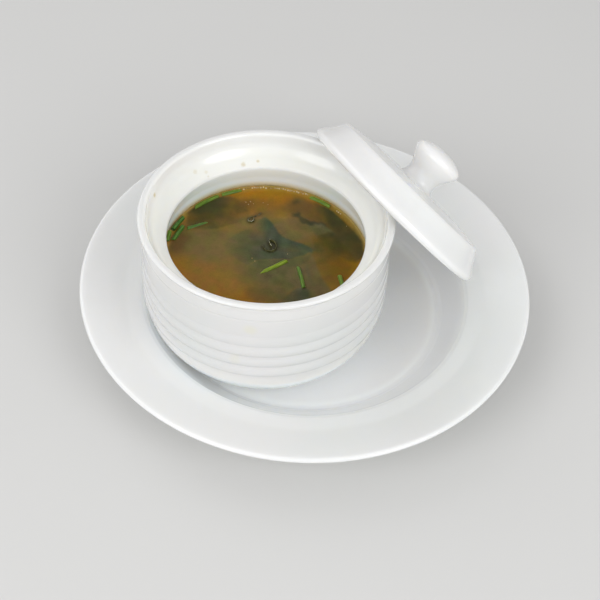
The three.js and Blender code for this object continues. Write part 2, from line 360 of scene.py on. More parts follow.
def turning_tree():
    sockets = {
        "Outline": "Object", "Sides": "Int", "Corner steps": "Int", "Longest step": "Float",
        "Lean": "Rotation", "Place": "Vector", "Finish": "Material",
    }
    tree, given = new_shape_tree("Turned porcelain", sockets)
    outline = shape_node(tree, "ObjectInfo", {"Object": given["Outline"]}, "Geometry")
    corners = {
        "Curve": outline, "Count": given["Corner steps"], "Radius": shape_node(tree, "InputRadius"),
        "Limit Radius": True,
    }
    rounded = shape_node(tree, "FilletCurve", corners, mode="POLY")
    # cuts on a stretch = its length over the longest step
    reach = shape_node(tree, "SplineParameter", output="Length")
    following = {"Index": maths(tree, "ADD", shape_node(tree, "InputIndex"), 1), "Value": reach}
    next_reach = shape_node(tree, "FieldAtIndex", following, data_type="FLOAT", domain="POINT")
    stretch = maths(tree, "SUBTRACT", next_reach, reach)
    cuts = maths(tree, "FLOOR", maths(tree, "DIVIDE", stretch, given["Longest step"]))
    cuts = maths(tree, "MAXIMUM", cuts, 0)
    fine = shape_node(tree, "SubdivideCurve", {"Curve": rounded, "Cuts": cuts})
    flat = shape_node(tree, "Transform", {"Geometry": fine, "Rotation": Euler((math.pi / 2, 0, 0))})
    circle = {"Resolution": given["Sides"], "Radius": TINY}
    wheel = shape_node(tree, "CurvePrimitiveCircle", circle, "Curve")
    swept = shape_node(tree, "CurveToMesh", {"Curve": wheel, "Profile Curve": flat})
    closed = shape_node(tree, "MergeByDistance", {"Geometry": swept, "Distance": 3 * TINY})
    leaning = {"Geometry": closed, "Rotation": given["Lean"], "Translation": given["Place"]}
    end_tree(tree, shape_node(tree, "Transform", leaning), given["Finish"])
    return tree


turning = turning_tree()
print("turning tree:", len(turning.nodes), "nodes")

# %% [markdown]
# A Geometry Nodes modifier works on a host object. Its inputs are set by identifier before the host
# is first evaluated, the result is turned into a plain mesh, and the modifier is taken off again. A
# closed mesh also has a signed volume: if that is negative its faces point inwards, and they are
# turned round here, once, for every piece that a tree makes.


# %% Helpers that run a tree and keep a plain mesh
def volume(mesh):
    shape = bmesh.new()
    shape.from_mesh(mesh)
    size = shape.calc_volume(signed=True)
    shape.free()
    return size


def link_mesh(name, mesh):
    piece = bpy.data.objects.new(name, mesh)
    scene.collection.objects.link(piece)
    return piece


def grow(name, tree, values, start=None):
    """Run a tree on a host mesh and return the result as a plain piece with its faces outwards."""
    piece = link_mesh(name, start or bpy.data.meshes.new(name))
    modifier = piece.modifiers.new("shape", "NODES")
    modifier.node_group = tree
    for item in tree.interface.items_tree:
        if item.in_out == "INPUT" and item.name in values:
            modifier[item.identifier] = values[item.name]
    graph = bpy.context.evaluated_depsgraph_get()
    mesh = bpy.data.meshes.new_from_object(
        piece.evaluated_get(graph), preserve_all_data_layers=True, depsgraph=graph
    )
    piece.modifiers.clear()
    if volume(mesh) < 0:
        mesh.flip_normals()
    mesh.name = name
    piece.data = mesh
    print(f"{name}: {len(mesh.polygons)} faces, {volume(mesh) * 1e6:.1f} cubic cm")
    return piece


def finish_piece(piece, slot, *nodes):
    """Hide the solids that the piece stands for and let it move with the root; slot is not used."""
    if nodes:
        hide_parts(*nodes)
    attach(piece, "root")


# %% [markdown]
# An outline is a list of corners, with arcs where it is truly round. It is drawn as a curve whose
# points carry the radius of their own corner, turned by the tree, and then thrown away.

# %% Helpers that draw and turn an outline
CORNER_STEPS = 5
LONGEST_STEP = 1.6


def draw_outline(name, corners):
    """A half outline as a curve, in the upright plane. A corner is r, z and its round, in mm."""
    curve = bpy.data.curves.new(name, "CURVE")
    curve.dimensions = "3D"
    line = curve.splines.new("POLY")
    line.points.add(len(corners) - 1)
    for point, (r, z, *round_off) in zip(line.points, corners):
        point.co = (r * MM, 0, z * MM, 1)
        point.radius = round_off[0] * MM if round_off else 0
    outline = bpy.data.objects.new(name, curve)
    scene.collection.objects.link(outline)
    return outline


def arc(r, z, radius, start, stop, steps=14):
    """Corners on a round of an outline, from one angle to another in degrees."""
    angles = [math.radians(start + (stop - start) * step / steps) for step in range(steps + 1)]
    return [(r + radius * math.cos(angle), z + radius * math.sin(angle)) for angle in angles]


def turn(name, corners, place, glaze, lean=(0, 0, 0), sides=192):
    outline = draw_outline(name + "_outline", corners)
    values = {
        "Outline": outline, "Sides": sides, "Corner steps": CORNER_STEPS,
        "Longest step": LONGEST_STEP * MM, "Lean": lean, "Place": place, "Finish": glaze,
    }
    piece = grow(name, turning, values)
    bpy.data.objects.remove(outline)
    return piece


# %% [markdown]
# The plate is the widest piece. From below its outline runs over the foot ring, out along the
# underside, round the rolled edge, down the gently dished rim, over the small crisp step that
# surrounds the well, and in across the flat well. The two slopes of the rim meet in a very large
# radius, and the step in small ones, which is why each corner carries its own.

# %% Turn the plate
PLATE_EDGE = 1.2
PLATE_RADIUS = 104.8
PLATE_WALL = 3.8
WELL_FLOOR = 6.0
WELL_TOP, WELL_TOP_HEIGHT = 75.6, 16.6
WELL_BOTTOM = 64.6
RIM_BEND, RIM_BEND_HEIGHT = 84.5, 18.0
plate_outline = [
    (0, WELL_FLOOR - PLATE_WALL),
    (59.2, WELL_FLOOR - PLATE_WALL, 0.8),
    (60, 0, 0.5),
    (64.2, 0, 0.5),
    (65, 1, 0.8),
    (WELL_TOP - 0.6 * PLATE_WALL, WELL_TOP_HEIGHT - PLATE_WALL - 0.8, 6),
    (RIM_BEND, RIM_BEND_HEIGHT - PLATE_WALL, 12),
    *arc(PLATE_RADIUS - PLATE_EDGE, PLATE_HEIGHT / MM - PLATE_EDGE, PLATE_EDGE, -70, 110),
    (RIM_BEND, RIM_BEND_HEIGHT, 16),
    (WELL_TOP + 1.6, WELL_TOP_HEIGHT + 0.35, 2),
    (WELL_TOP, WELL_TOP_HEIGHT - 0.4, 1.5),
    (WELL_TOP - 1.2, WELL_TOP_HEIGHT - 1.6, 1.5),
    (WELL_BOTTOM + 1.6, WELL_FLOOR + 1.3, 2),
    (WELL_BOTTOM, WELL_FLOOR + 0.3, 2),
    (WELL_BOTTOM - 1.8, WELL_FLOOR, 3),
    (0, WELL_FLOOR),
]
plate = turn("plate_porcelain", plate_outline, (0, 0, 0), plate_glaze, sides=256)
finish_piece(plate, "plate", "plate")

# %% [markdown]
# The pot has a straight upper wall with one thin line scored in it, three soft throwing rings that
# fade in from above, a round belly and a foot ring. Inside its small rounded lip the wall steps in to
# a sloping ledge that carries the lid, and below the ledge it flares out again to the soup. A ring is
# a low swell between two narrow grooves, so its height follows one rounded curve.

# %% Turn the pot
POT_HEIGHT = 69.7
LIP_RADIUS, LIP_OUTER, LIP_INNER, LIP_INSIDE = 55.3, 0.9, 1.4, 51.9
BODY = 54.2
LEDGE_TOP, LEDGE_EDGE, MOUTH, THROAT = 8.2, 12.8, 43.3, 20.5
SOUP_RADIUS = 46.2
BELLY, BELLY_DEPTH, TURN = 46.8, 44.0, 27.4
FOOT_INNER, FOOT_OUTER, FOOT_HOLLOW = 30.0, 34.8, 2.2
RING_FROM, RING_PITCH, RINGS, RING_SWELL = 25.9, 6.4, 3, 0.7
RING_GROOVE = 0.1  # how high the bottom of a groove stays, of the swell
RING_FULLNESS = 2.4  # the higher, the broader the swell and the narrower the groove
RING_ROUND = 0.8
RING_SHARES = (0, 0.05, 0.12, 0.22, 0.35, 0.5, 0.65, 0.78, 0.88, 0.95)


def ring_rows():
    """The throwing rings from the lowest up, and half as high above them the one that fades in."""
    rows = []
    for ring in range(RINGS - 1, -2, -1):
        bottom = -RING_FROM - (ring + 1) * RING_PITCH
        swell = RING_SWELL * (0.5 if ring < 0 else 1)
        for share in RING_SHARES:
            bulge = max(RING_GROOVE, 1 - abs(2 * share - 1) ** RING_FULLNESS) * swell
            rows.append((BODY + bulge, bottom + share * RING_PITCH, RING_ROUND))
    return rows


pot_outline = [
    (0, -POT_HEIGHT + FOOT_HOLLOW),
    (FOOT_INNER - 0.8, -POT_HEIGHT + FOOT_HOLLOW, 0.5),
    (FOOT_INNER, -POT_HEIGHT, 0.5),
    (FOOT_OUTER - 0.6, -POT_HEIGHT, 0.4),
    *arc(TURN, -BELLY_DEPTH, BODY - TURN, -71, -4, 30),
    *ring_rows(),
    (BODY, -RING_FROM + RING_PITCH, 1.5),
    (BODY, -10.5, 0.5),
    (BODY - 0.18, -9.8, 0.5),
    (BODY, -9.1, 0.5),
    (BODY, -3.2, 2),
    *arc(LIP_RADIUS - LIP_OUTER, -LIP_OUTER, LIP_OUTER, -50, 90),
    *arc(LIP_INSIDE + LIP_INNER, -LIP_INNER, LIP_INNER, 90, 180),
    (LIP_INSIDE - 0.4, -LEDGE_TOP + 3.6, 8),
    (LIP_INSIDE - 1.3, -LEDGE_TOP + 1.5, 8),
    (LIP_INSIDE - 2.6, -LEDGE_TOP - 0.5, 8),
    (LIP_INSIDE - 4.4, -LEDGE_TOP - 2.3, 8),
    (MOUTH + 1.6, -LEDGE_EDGE + 0.9, 1.2),
    (MOUTH + 0.3, -LEDGE_EDGE + 0.1, 0.6),
    (MOUTH, -LEDGE_EDGE - 0.9, 0.8),
    (SOUP_RADIUS - 0.8, -THROAT, 10),
    (SOUP_RADIUS, -SOUP_DEPTH, 6),
    *arc(TURN, -BELLY_DEPTH, BELLY - TURN, 0, -90, 24),
    (0, -BELLY_DEPTH - (BELLY - TURN)),
]
pot_place = POT_AXIS + Vector((0, 0, LIP))
pot = turn("pot_porcelain", pot_outline, pot_place, pot_glaze)
finish_piece(pot, "pot", "pot")

# %% [markdown]
# The lid is a shallow dish turned upside down: a sloping flank, a crisp shoulder, a nearly flat top
# and a mushroom knob on a short neck. Underneath it is hollow behind a rounded rim. It is turned
# upright like the others and then leaned by the angle at which it rests on the lip.

# %% Turn the lid
LID_RADIUS, LID_SHOULDER, LID_HEIGHT = 49.05, 41.9, 13.55
LID_RIM_ROUND, LID_SHOULDER_ROUND, LID_SWELL, LID_DOME = 2.3, 1.8, 0.3, 2.0
LID_RIM, LID_HOLLOW, LID_HOLLOW_DOME = 3.6, 8.0, 1.6
KNOB_NECK, KNOB_NECK_HEIGHT, KNOB_RADIUS, KNOB_HEIGHT = 8.05, 5.4, 12.45, 19.3
KNOB_ROUND, KNOB_DOME = 3.0, 0.8
LID_PLACE = Vector((37.28, 19.43, 52.5)) * MM
LID_LEAN, LID_HEADING = 51.85, 34.3  # degrees


def lid_corners():
    slope = math.atan2(LID_RADIUS - LID_SHOULDER, LID_HEIGHT)
    flank = math.degrees(slope)
    shoulder_r = LID_SHOULDER - LID_SHOULDER_ROUND * math.cos(slope)
    shoulder_z = LID_HEIGHT - LID_SHOULDER_ROUND * (0.3 + math.sin(slope))
    shoulder = arc(shoulder_r, shoulder_z, LID_SHOULDER_ROUND, flank + 4, 80)
    top = shoulder[-1][1] + LID_DOME
    crown = top + KNOB_HEIGHT
    wall = LID_RADIUS - LID_RIM
    return [
        (0, LID_HOLLOW + LID_HOLLOW_DOME),
        (20, LID_HOLLOW + 0.75 * LID_HOLLOW_DOME, 30),
        (wall - 8, LID_HOLLOW, 12),
        (wall - 4.6, LID_HOLLOW - 1.2, 4),
        (wall - 2.4, LID_HOLLOW - 3.6, 4),
        (wall - 0.5, 1.2, 1),
        (wall + 0.4, 0, 0.6),
        *arc(LID_RADIUS - LID_RIM_ROUND, LID_RIM_ROUND, LID_RIM_ROUND, -90, flank - 4),
        (
            (LID_RADIUS + LID_SHOULDER) / 2 + LID_SWELL * math.cos(slope),
            LID_HEIGHT / 2 + LID_SWELL * math.sin(slope),
            60,
        ),
        *shoulder,
        (0.68 * LID_SHOULDER, top - 0.1, 60),
        (KNOB_NECK + 1.9, top, 1.5),
        (KNOB_NECK + 0.6, top + 1.1, 2),
        (KNOB_NECK, top + 2.6, 4),
        (KNOB_NECK, top + KNOB_NECK_HEIGHT, 8),
        (KNOB_NECK + 0.6, top + KNOB_NECK_HEIGHT + 1.7, 10),
        *arc(KNOB_RADIUS - KNOB_ROUND, crown - KNOB_DOME - 1.45 * KNOB_ROUND, KNOB_ROUND, -32, 55),
        (0.66 * KNOB_RADIUS, crown - KNOB_DOME, 14),
        (0.35 * KNOB_RADIUS, crown - 0.25 * KNOB_DOME, 16),
        (0, crown),
    ]


heading = Matrix.Rotation(math.radians(LID_HEADING), 3, "Z")
lid_turn = heading @ Matrix.Rotation(math.radians(LID_LEAN), 3, "Y")
lid = turn("lid_porcelain", lid_corners(), LID_PLACE, lid_glaze, lean=lid_turn.to_euler())
finish_piece(lid, "lid", "lid")

# %% [markdown]
# What grows is not turned on a wheel, so the garnish is built point by point with bmesh. All of it
# needs the same few things: a smooth line through given points, a skin between two rings of
# points, and a way to keep the closed result as a finished piece with its faces outwards.


# %% Helpers for shapes built point by point
def smooth_line(points, steps, closed=False):
    """A line or a closed loop through the points, rounded by the Catmull-Rom rule."""
    line = []
    count = len(points)
    stretches = count if closed else count - 1
    for index in range(stretches):
        around = (index - 1, index, index + 1, index + 2)
        picked = [at % count if closed else min(max(at, 0), count - 1) for at in around]
        before, here, after, beyond = (Vector(points[at]) for at in picked)
        last_point = not closed and index == stretches - 1
        for step in range(steps + last_point):
            t = step / steps
            line.append(
                0.5 * (2 * here + (after - before) * t + (2 * before - 5 * here + 4 * after - beyond) * t * t
                       + (3 * here - before - 3 * after + beyond) * t ** 3)
            )
    return line


def skin(shape, one, other):
    """Faces between two rings of points, or a fan where one of them is a single point."""
    count = max(len(one), len(other))
    for side in range(count):
        after = (side + 1) % count
        if len(one) == 1:
            shape.faces.new((one[0], other[after], other[side]))
        elif len(other) == 1:
            shape.faces.new((one[side], one[after], other[0]))
        else:
            shape.faces.new((one[side], one[after], other[after], other[side]))


def keep_mesh(name, shape):
    mesh = bpy.data.meshes.new(name)
    shape.to_mesh(mesh)
    shape.free()
    return mesh


def keep_piece(name, shape, finish, slot, *nodes):
    """A finished piece from closed shapes, its faces outwards and smooth but for many-sided caps."""
    bmesh.ops.recalc_face_normals(shape, faces=shape.faces)
    for face in shape.faces:
        face.smooth = len(face.verts) <= 4
    piece = link_mesh(name, keep_mesh(name, shape))
    piece.data.materials.append(finish)
    finish_piece(piece, slot, *nodes)
    print(f"{name}: {len(piece.data.polygons)} faces")
    return piece


# %% [markdown]
# Soaked seaweed is a mottled dark olive, and its wet skin shines. The same finish serves the sunk
# leaves and the curls that stand out of the soup. Along part of a curl's top edge a painted highlight
# lies as a pale line, which the mesh says with a value called glint, broken up here by noise.


# %% Mix the seaweed's finish
def wakame_finish():
    finish, tree, shader = new_finish("wet_wakame", 0.16, 1.4)
    where = object_place(tree)
    grain = remap(tree, speckle(tree, where, 500, 3), 0.35, 0.7)
    colour = blend(tree, grain, screen(56, 57, 30), screen(90, 87, 48))
    patches = remap(tree, speckle(tree, where, 900, 1), 0.4, 0.6)
    broken = maths(tree, "MULTIPLY", kept_value(tree, "glint"), patches)
    # painted highlight: a pale line along part of the curls' top edge, broken into patches
    colour = blend(tree, broken, colour, screen(238, 234, 206))
    wire_up(tree, shader, colour, grain, 0.4, 0.3)
    return finish


wet_wakame = wakame_finish()
print("finish:", wet_wakame.name)

# %% [markdown]
# Under the surface hang the big soaked leaves of seaweed and a few scraps. Nothing of them stands out
# of the soup, so they have no solid in the frame and are made here. A leaf is a thin wavy sheet: its
# outline is smoothed round a few given points and drawn in towards the middle in rings, and noise
# frays it, most at the edge. Every outline point has its own depth, because a leaf that tips down
# fades into the broth on its low side and shows a clear edge on its high side. Points are in
# millimetres from the pot's axis, x right and y away, and depths run down from the surface.


# %% Lay the sunk leaves
def crumb(x, y, radius, depth):
    """A scrap of leaf, uneven and nearly round."""
    spots = []
    for corner in range(6):
        angle = math.radians(60 * corner)
        reach = radius * (1 + 0.25 * math.sin(2.3 * corner + x))
        spots.append((x + reach * math.cos(angle), y + reach * math.sin(angle), depth + 2))
    return spots


SEA_TEAL = screen(67, 80, 58)
SEA_SLATE = screen(69, 78, 59)
SEA_INK = screen(50, 57, 32)
SEA_OLIVE = screen(66, 65, 27)
SEA_MOSS = screen(99, 94, 56)
SEA_PALE = screen(114, 98, 54)
SEA_DRAB = screen(95, 92, 58)
LEAVES = {
    # name: outline as x, y and depth, depth of the middle, ruffle, tone at the edge and in the middle
    "core": (
        [(-5.4, 21.7, 8), (-2.6, 25.2, 4), (-0.3, 24.2, 1.4), (3, 19.2, 0.8), (6.5, 13.7, 0.8),
         (11.2, 11.2, 0.8), (16.2, 9.2, 1), (20, 6.9, 1.9), (20.6, 3.4, 3.2), (18.8, -1.2, 4.4),
         (15.8, -4, 4.4), (10.2, -5.6, 4.4), (4.5, -6.4, 4.8), (-1.2, -7.2, 5.5), (-6.5, -6.4, 6.5),
         (-11.2, -3.7, 7.5), (-15, -0.3, 8), (-18.1, 3.8, 9), (-18.4, 8.3, 9), (-15.6, 11.7, 7),
         (-11.8, 15.3, 5.5), (-7.6, 18.2, 7)],
        1.2, 0.4, SEA_TEAL, SEA_SLATE,
    ),
    "strip": (
        [(9.7, 3, 6), (14.9, 4.6, 4), (19.4, 4.6, 2.6), (21.2, 1.6, 1), (23.4, -5, 0.8), (26.5, -12.7, 0.8),
         (30.2, -19.5, 0.8), (25.9, -23.5, 1.5), (19.9, -24.6, 4), (16.4, -17.7, 6), (13.8, -10.1, 7),
         (11.4, -2.4, 6.5)],
        2.4, 0.3, SEA_PALE, SEA_DRAB,
    ),
    "shade": (
        [(-14.9, 2.2, 10), (-9.2, 4.4, 7), (-1.6, 4, 5), (6.4, 4, 4), (13.5, 4, 4), (17.7, 1.9, 3.6),
         (20.4, -9.8, 3.6), (22.6, -17.5, 4.6), (22, -24.6, 7), (12.3, -29.5, 8), (4.5, -29.6, 8),
         (-2.9, -28.5, 10), (-8.6, -19.9, 12), (-12.4, -10.6, 12)],
        1.6, 0.5, SEA_MOSS, SEA_MOSS,
    ),
    "toe": (
        [(6, -20, 9), (10, -13, 9), (16, -10.5, 9), (22, -12.5, 8.5), (26.5, -18, 7), (25, -27, 4),
         (17, -31, 3), (9, -29, 6)],
        2.3, 0.6, SEA_TEAL, SEA_TEAL,
    ),
    "back_left": (
        [(-38, 21.5, 5), (-36.7, 26.3, 1.5), (-33.4, 30, 0.8), (-28.2, 34.2, 0.7), (-22.9, 37.1, 1.2),
         (-18.2, 37.5, 4), (-14.4, 35.8, 8), (-11.1, 32.2, 8.5), (-8.8, 27.5, 7.5), (-12.2, 22, 7),
         (-18.6, 18, 5.5), (-24.7, 15.6, 4.4), (-30.1, 14.8, 4), (-35.8, 16.2, 3.6)],
        1.4, 0.8, SEA_OLIVE, SEA_OLIVE,
    ),
    "right": (
        [(20.2, 36.4, 6), (22.8, 36.2, 3), (26.6, 34.2, 1), (30.1, 30.8, 0.7), (34, 26, 0.7), (38.2, 21, 0.7),
         (41.5, 16.1, 0.8), (43.3, 11.1, 1), (43.8, 6.1, 1.6), (42.5, 1.6, 3.2), (39.9, 0.1, 4.5),
         (36.3, 1, 5), (33.1, 3.2, 5.5), (29.3, 5.8, 7), (26.9, 10, 8), (22.2, 14.4, 7), (20.4, 19.7, 6.4),
         (20.8, 24.3, 8), (21.4, 30.9, 8)],
        1.3, 0.7, SEA_OLIVE, SEA_OLIVE,
    ),
    "sheet": (
        [(17.5, 23, 3.4), (21.6, 23.4, 1.8), (24.8, 23, 1.5), (27.8, 20, 1.8), (30.6, 17, 3), (28.6, 15.4, 4),
         (26.5, 14.6, 5), (22.8, 15, 6.5), (19.4, 18.4, 6)],
        2.6, 0.5, SEA_DRAB, SEA_MOSS,
    ),
    "streak": (
        [(13, 27.4, 4), (15.2, 26.8, 2.6), (17, 25.1, 1.6), (18.8, 24.3, 1.6), (21.6, 24.3, 2),
         (24.8, 23.8, 2.6), (28, 21, 3.6), (27.4, 19.8, 3.6), (24.6, 22.6, 2.6), (21.6, 22.6, 2.2),
         (18.6, 21.8, 2), (16, 22.2, 2.2), (13.8, 24.4, 3)],
        1.4, 0.9, SEA_INK, SEA_INK,
    ),
    "scrap": (crumb(12.6, 28.2, 2.1, 3.4), 1.6, 0.9, SEA_INK, SEA_INK),
    "crumb_back": (crumb(11.7, 37, 2, 4), 3, 0.1, SEA_OLIVE, SEA_OLIVE),
    "crumb_right": (crumb(29, 16.4, 1.6, 0.4), 0.9, 0.4, SEA_OLIVE, SEA_OLIVE),
}
LEAF_RINGS = 8
LEAF_STEPS = 6  # between two outline points
LEAF_THICKNESS = 0.35
LEAF_SHALLOWEST = 0.6
LEAF_DISH = 1.4  # above 1, the depth changes mostly near the edge
# how far the sheet waves and its edge strays for a ruffle of 1, how much the tone varies, and
# the scale of the noise for each
LEAF_WAVE, LEAF_WAVE_SCALE = 2, 0.18
LEAF_FRAY, LEAF_FRAY_SCALE = 1.1, 0.8
LEAF_MOTTLE, LEAF_MOTTLE_SCALE = 0.35, 0.3
LEAF_SEED = 4  # without a seed the fray follows the clock, and no two runs are alike


def noise_spot(at, scale, layer):
    """Where to read a noise. Another layer gives another noise at the same place."""
    return Vector((at.x * scale, at.y * scale, layer))


def place_on_leaf(edge, middle, share, ruffle):
    """A point between the middle and the edge of a leaf, both given as x, y and depth."""
    at = middle + (edge - middle) * share
    wave = noise.noise(noise_spot(at, LEAF_WAVE_SCALE, ruffle))
    at += noise.noise_vector(noise_spot(at, LEAF_FRAY_SCALE, 9)) * LEAF_FRAY * ruffle * share
    depth = middle.z + (edge.z - middle.z) * share ** LEAF_DISH + LEAF_WAVE * ruffle * wave
    return Vector((at.x, at.y, max(depth, LEAF_SHALLOWEST)))


def add_leaf(shape, tone_layer, outline, depth, ruffle, edge_tone, middle_tone):
    """Rings from the edge to the middle on both faces of a leaf, joined round the edge."""
    loop = smooth_line(outline, LEAF_STEPS, closed=True)
    middle = sum(loop, Vector((0, 0, 0))) / len(loop)
    middle.z = depth

    def add(edge, share, side):
        at = place_on_leaf(edge, middle, share, ruffle)
        z = SOUP_LEVEL / MM - at.z + side * LEAF_THICKNESS
        vert = shape.verts.new(POT_AXIS + Vector((at.x, at.y, z)) * MM)
        mottle = 1 + LEAF_MOTTLE * noise.noise(noise_spot(at, LEAF_MOTTLE_SCALE, 5))
        vert[tone_layer] = Vector(middle_tone).lerp(Vector(edge_tone), share) * mottle
        return vert

    faces = []
    for side in (-0.5, 0.5):
        shares = [1 - ring / LEAF_RINGS for ring in range(LEAF_RINGS)]
        rings = [[add(edge, share, side) for edge in loop] for share in shares]
        faces.append(rings + [[add(middle, 0, side)]])
    for rings in faces:
        for outer, inner in zip(rings, rings[1:]):
            skin(shape, outer, inner)
    low, high = faces
    skin(shape, low[0], high[0])


def leaf_shape():
    """All leaves in one shape, with the colour of each leaf kept on its points."""
    noise.seed_set(LEAF_SEED)
    shape = bmesh.new()
    tone_layer = shape.verts.layers.float_color.new("leaf_tone")
    for leaf in LEAVES.values():
        add_leaf(shape, tone_layer, *leaf)
    return shape


leaves = keep_piece("sunk_leaves", leaf_shape(), wet_wakame, "seaweed")

# %% [markdown]
# Cut chives float half sunk. Each is a short hollow stem, slightly bowed, cut at both ends so that
# the darker bore shows, some squarely and some on a slant. They could be swept by a curve with a
# bevel, but a bevel has no bore, so each stem is built in rings from the bottom of one bore, over the
# rim, along the outside and back into the other bore. A slanting cut pulls the rings near it back on
# one side. Every point remembers how green its stem is and where it lies along and round the fibres.

# %% Cut the chives
CHIVES = [
    # from, to, rise above the soup at both ends, bow, radius, then for both ends how far it narrows
    # and how far the cut slants, and tone from dull to bright
    ((-35.1, 27.8), (-24.5, 37.3), (0.3, 0.2), 0.45, 1.05, (0.95, 0.9), (1.6, 0.5), 0.5),
    ((-23.2, 38), (-14, 42.2), (0.2, 0.3), 0.2, 1, (0.95, 0.8), (0.4, 1), 0.5),
    ((-39, 21.8), (-42.9, 12.2), (0.3, 1.2), 0.15, 1.05, (0.9, 1), (0.6, 0.3), 0.05),
    ((-38.6, 16.1), (-42.4, 5.7), (0.2, 0.2), 0, 1.05, (0.9, 0.8), (0.4, 1.2), 0.12),
    ((-43.6, 9.4), (-44.5, 4.8), (3.4, 1), 0, 0.85, (1, 1), (0.3, 0.3), 0.35),
    ((-36.9, 14.3), (-26.3, 20.2), (0.1, -0.5), 0.3, 0.85, (1.1, 0.6), (0.8, 2), 0.15),
    ((18.1, 40.4), (28, 34.3), (0.2, 0.3), 0.3, 1, (0.85, 0.95), (1, 0.6), 0.6),
    ((-2.3, -10.6), (9.6, -1.9), (0, 0.3), 0.35, 0.95, (0.5, 1), (2.6, 0.8), 1),
    ((14.6, -5.1), (17.8, -18.2), (0.2, 0.1), 0.2, 0.85, (0.8, 1), (1, 0.4), 0.35),
    ((33.1, -9.2), (35, -18.2), (0.3, 0.2), 0.2, 0.9, (1, 1), (0.4, 0.4), 0.6),
]
STEM_SIDES = 20
STEM_STEPS = 18
BORE, BORE_RIM = 0.62, 0.8  # of the radius
BORE_DEPTH = 0.45
STEM_BITE = 0.12  # how far the rounding of a cut end reaches
# the rings at a cut end: distance from the cut, and width as a share of the radius
STEM_END = [(BORE_DEPTH, 0), (BORE_DEPTH, BORE), (STEM_BITE, BORE + 0.06), (0, 0.82), (STEM_BITE, 0.97)]
NARROWING = 4.5  # length over which an end narrows
SLANTING = 3  # length over which a slanting cut pulls
STEM_WIDE, STEM_LOW = 1.05, 0.95  # a stem is a little flattened
STEM_UNEVEN = 0.08
FIBRE_STRETCH = 0.1  # how slowly the fibres change along the stem


def stem_path(start, end, rise, bow, share):
    """A point on the middle line of a stem, in millimetres."""
    a, b = Vector((*start, rise[0])), Vector((*end, rise[1]))
    outward = Vector(((a.x + b.x) / 2, (a.y + b.y) / 2, 0)).normalized()
    return a.lerp(b, share) + outward * bow * 4 * share * (1 - share)


def near_end(share, length, reach):
    """From 1 at an end of the stem to 0 at a distance from it, for the start and for the far end."""
    return [max(0, 1 - far * length / reach) for far in (share, 1 - share)]


def stem_rows(length):
    """Where the rings of a stem lie along it, from 0 to 1, and how wide they are."""
    bite = STEM_BITE / length
    end = [(along / length, width) for along, width in STEM_END]
    middle = [(bite + (1 - 2 * bite) * step / STEM_STEPS, 1) for step in range(1, STEM_STEPS)]
    return end + middle + [(1 - share, width) for share, width in reversed(end)]


def add_stem(shape, layers, start, end, rise, bow, radius, ends, cuts, tone):
    route = (start, end, rise, bow)
    length = (Vector(end) - Vector(start)).length
    previous = None
    for share, width in stem_rows(length):
        at = stem_path(*route, share)
        ahead = stem_path(*route, share + 0.01) - stem_path(*route, share - 0.01)
        across = ahead.cross(Vector((0, 0, 1))).normalized()
        over = across.cross(ahead).normalized()
        pinch = 1 + STEM_UNEVEN * noise.noise(Vector((share * 3, tone * 9, 0)))
        for narrow, near in zip(ends, near_end(share, length, NARROWING)):
            pinch *= 1 - (1 - narrow) * near * near
        pulls = [cut * near for cut, near in zip(cuts, near_end(share, length, SLANTING))]
        ring = []
        for side in range(STEM_SIDES if width else 1):
            angle = 2 * math.pi * side / STEM_SIDES
            swell = radius * width * pinch
            offset = across * math.cos(angle) * swell * STEM_WIDE + over * math.sin(angle) * swell * STEM_LOW
            pull = (pulls[0] - pulls[1]) * (1 - math.cos(angle) * width) / 2
            vert = shape.verts.new(from_soup(*(at + offset + ahead.normalized() * pull)))
            vert[layers["tone"]] = tone
            vert[layers["fibre"]] = (math.cos(angle), math.sin(angle), share * length * FIBRE_STRETCH)
            vert[layers["bore"]] = 1.0 if width < BORE_RIM else 0.0
            ring.append(vert)
        if previous:
            skin(shape, previous, ring)
        previous = ring


def chive_shape():
    shape = bmesh.new()
    layers = {
        "tone": shape.verts.layers.float.new("tone"),
        "bore": shape.verts.layers.float.new("bore"),
        "fibre": shape.verts.layers.float_vector.new("fibre"),
    }
    for stem in CHIVES:
        add_stem(shape, layers, *stem)
    return shape


# %% [markdown]
# A cut chive is not one green. Pale streaks run along its fibres, and painted light gathers them on
# its upper side, as if lit from above; one stem is older and duller than the next, and the bore is a
# flat, deep green. The finish reads the three values kept on the points.


# %% Colour the chives
def chive_finish():
    finish, tree, shader = new_finish("chive_skin", 0.28, 1.4)
    fibre = kept_value(tree, "fibre", "Vector")
    fibres = speckle(tree, fibre, 2.6, 3, 0.6)
    # painted light: the upper side of each stem is lighter, as if lit from above
    painted_top_light = remap(tree, put(tree, "ShaderNodeSeparateXYZ", {0: fibre}).outputs["Y"], -0.2, 0.9)
    streaks = maths(tree, "MULTIPLY", remap(tree, fibres, 0.36, 0.6), painted_top_light)
    fresh = kept_value(tree, "tone")
    green = blend(tree, fresh, screen(26, 76, 10), screen(94, 118, 6))
    pale = blend(tree, fresh, screen(80, 125, 44), screen(138, 160, 32))
    colour = blend(tree, streaks, green, pale)
    colour = blend(tree, kept_value(tree, "bore"), colour, screen(56, 84, 26))
    wire_up(tree, shader, colour, fibres, 0.5, 0.2)
    return finish


chive_nodes = [f"chive_{number}" for number in range(1, len(CHIVES) + 1)]
chives = keep_piece("cut_chives", chive_shape(), chive_finish(), "chive", *chive_nodes)
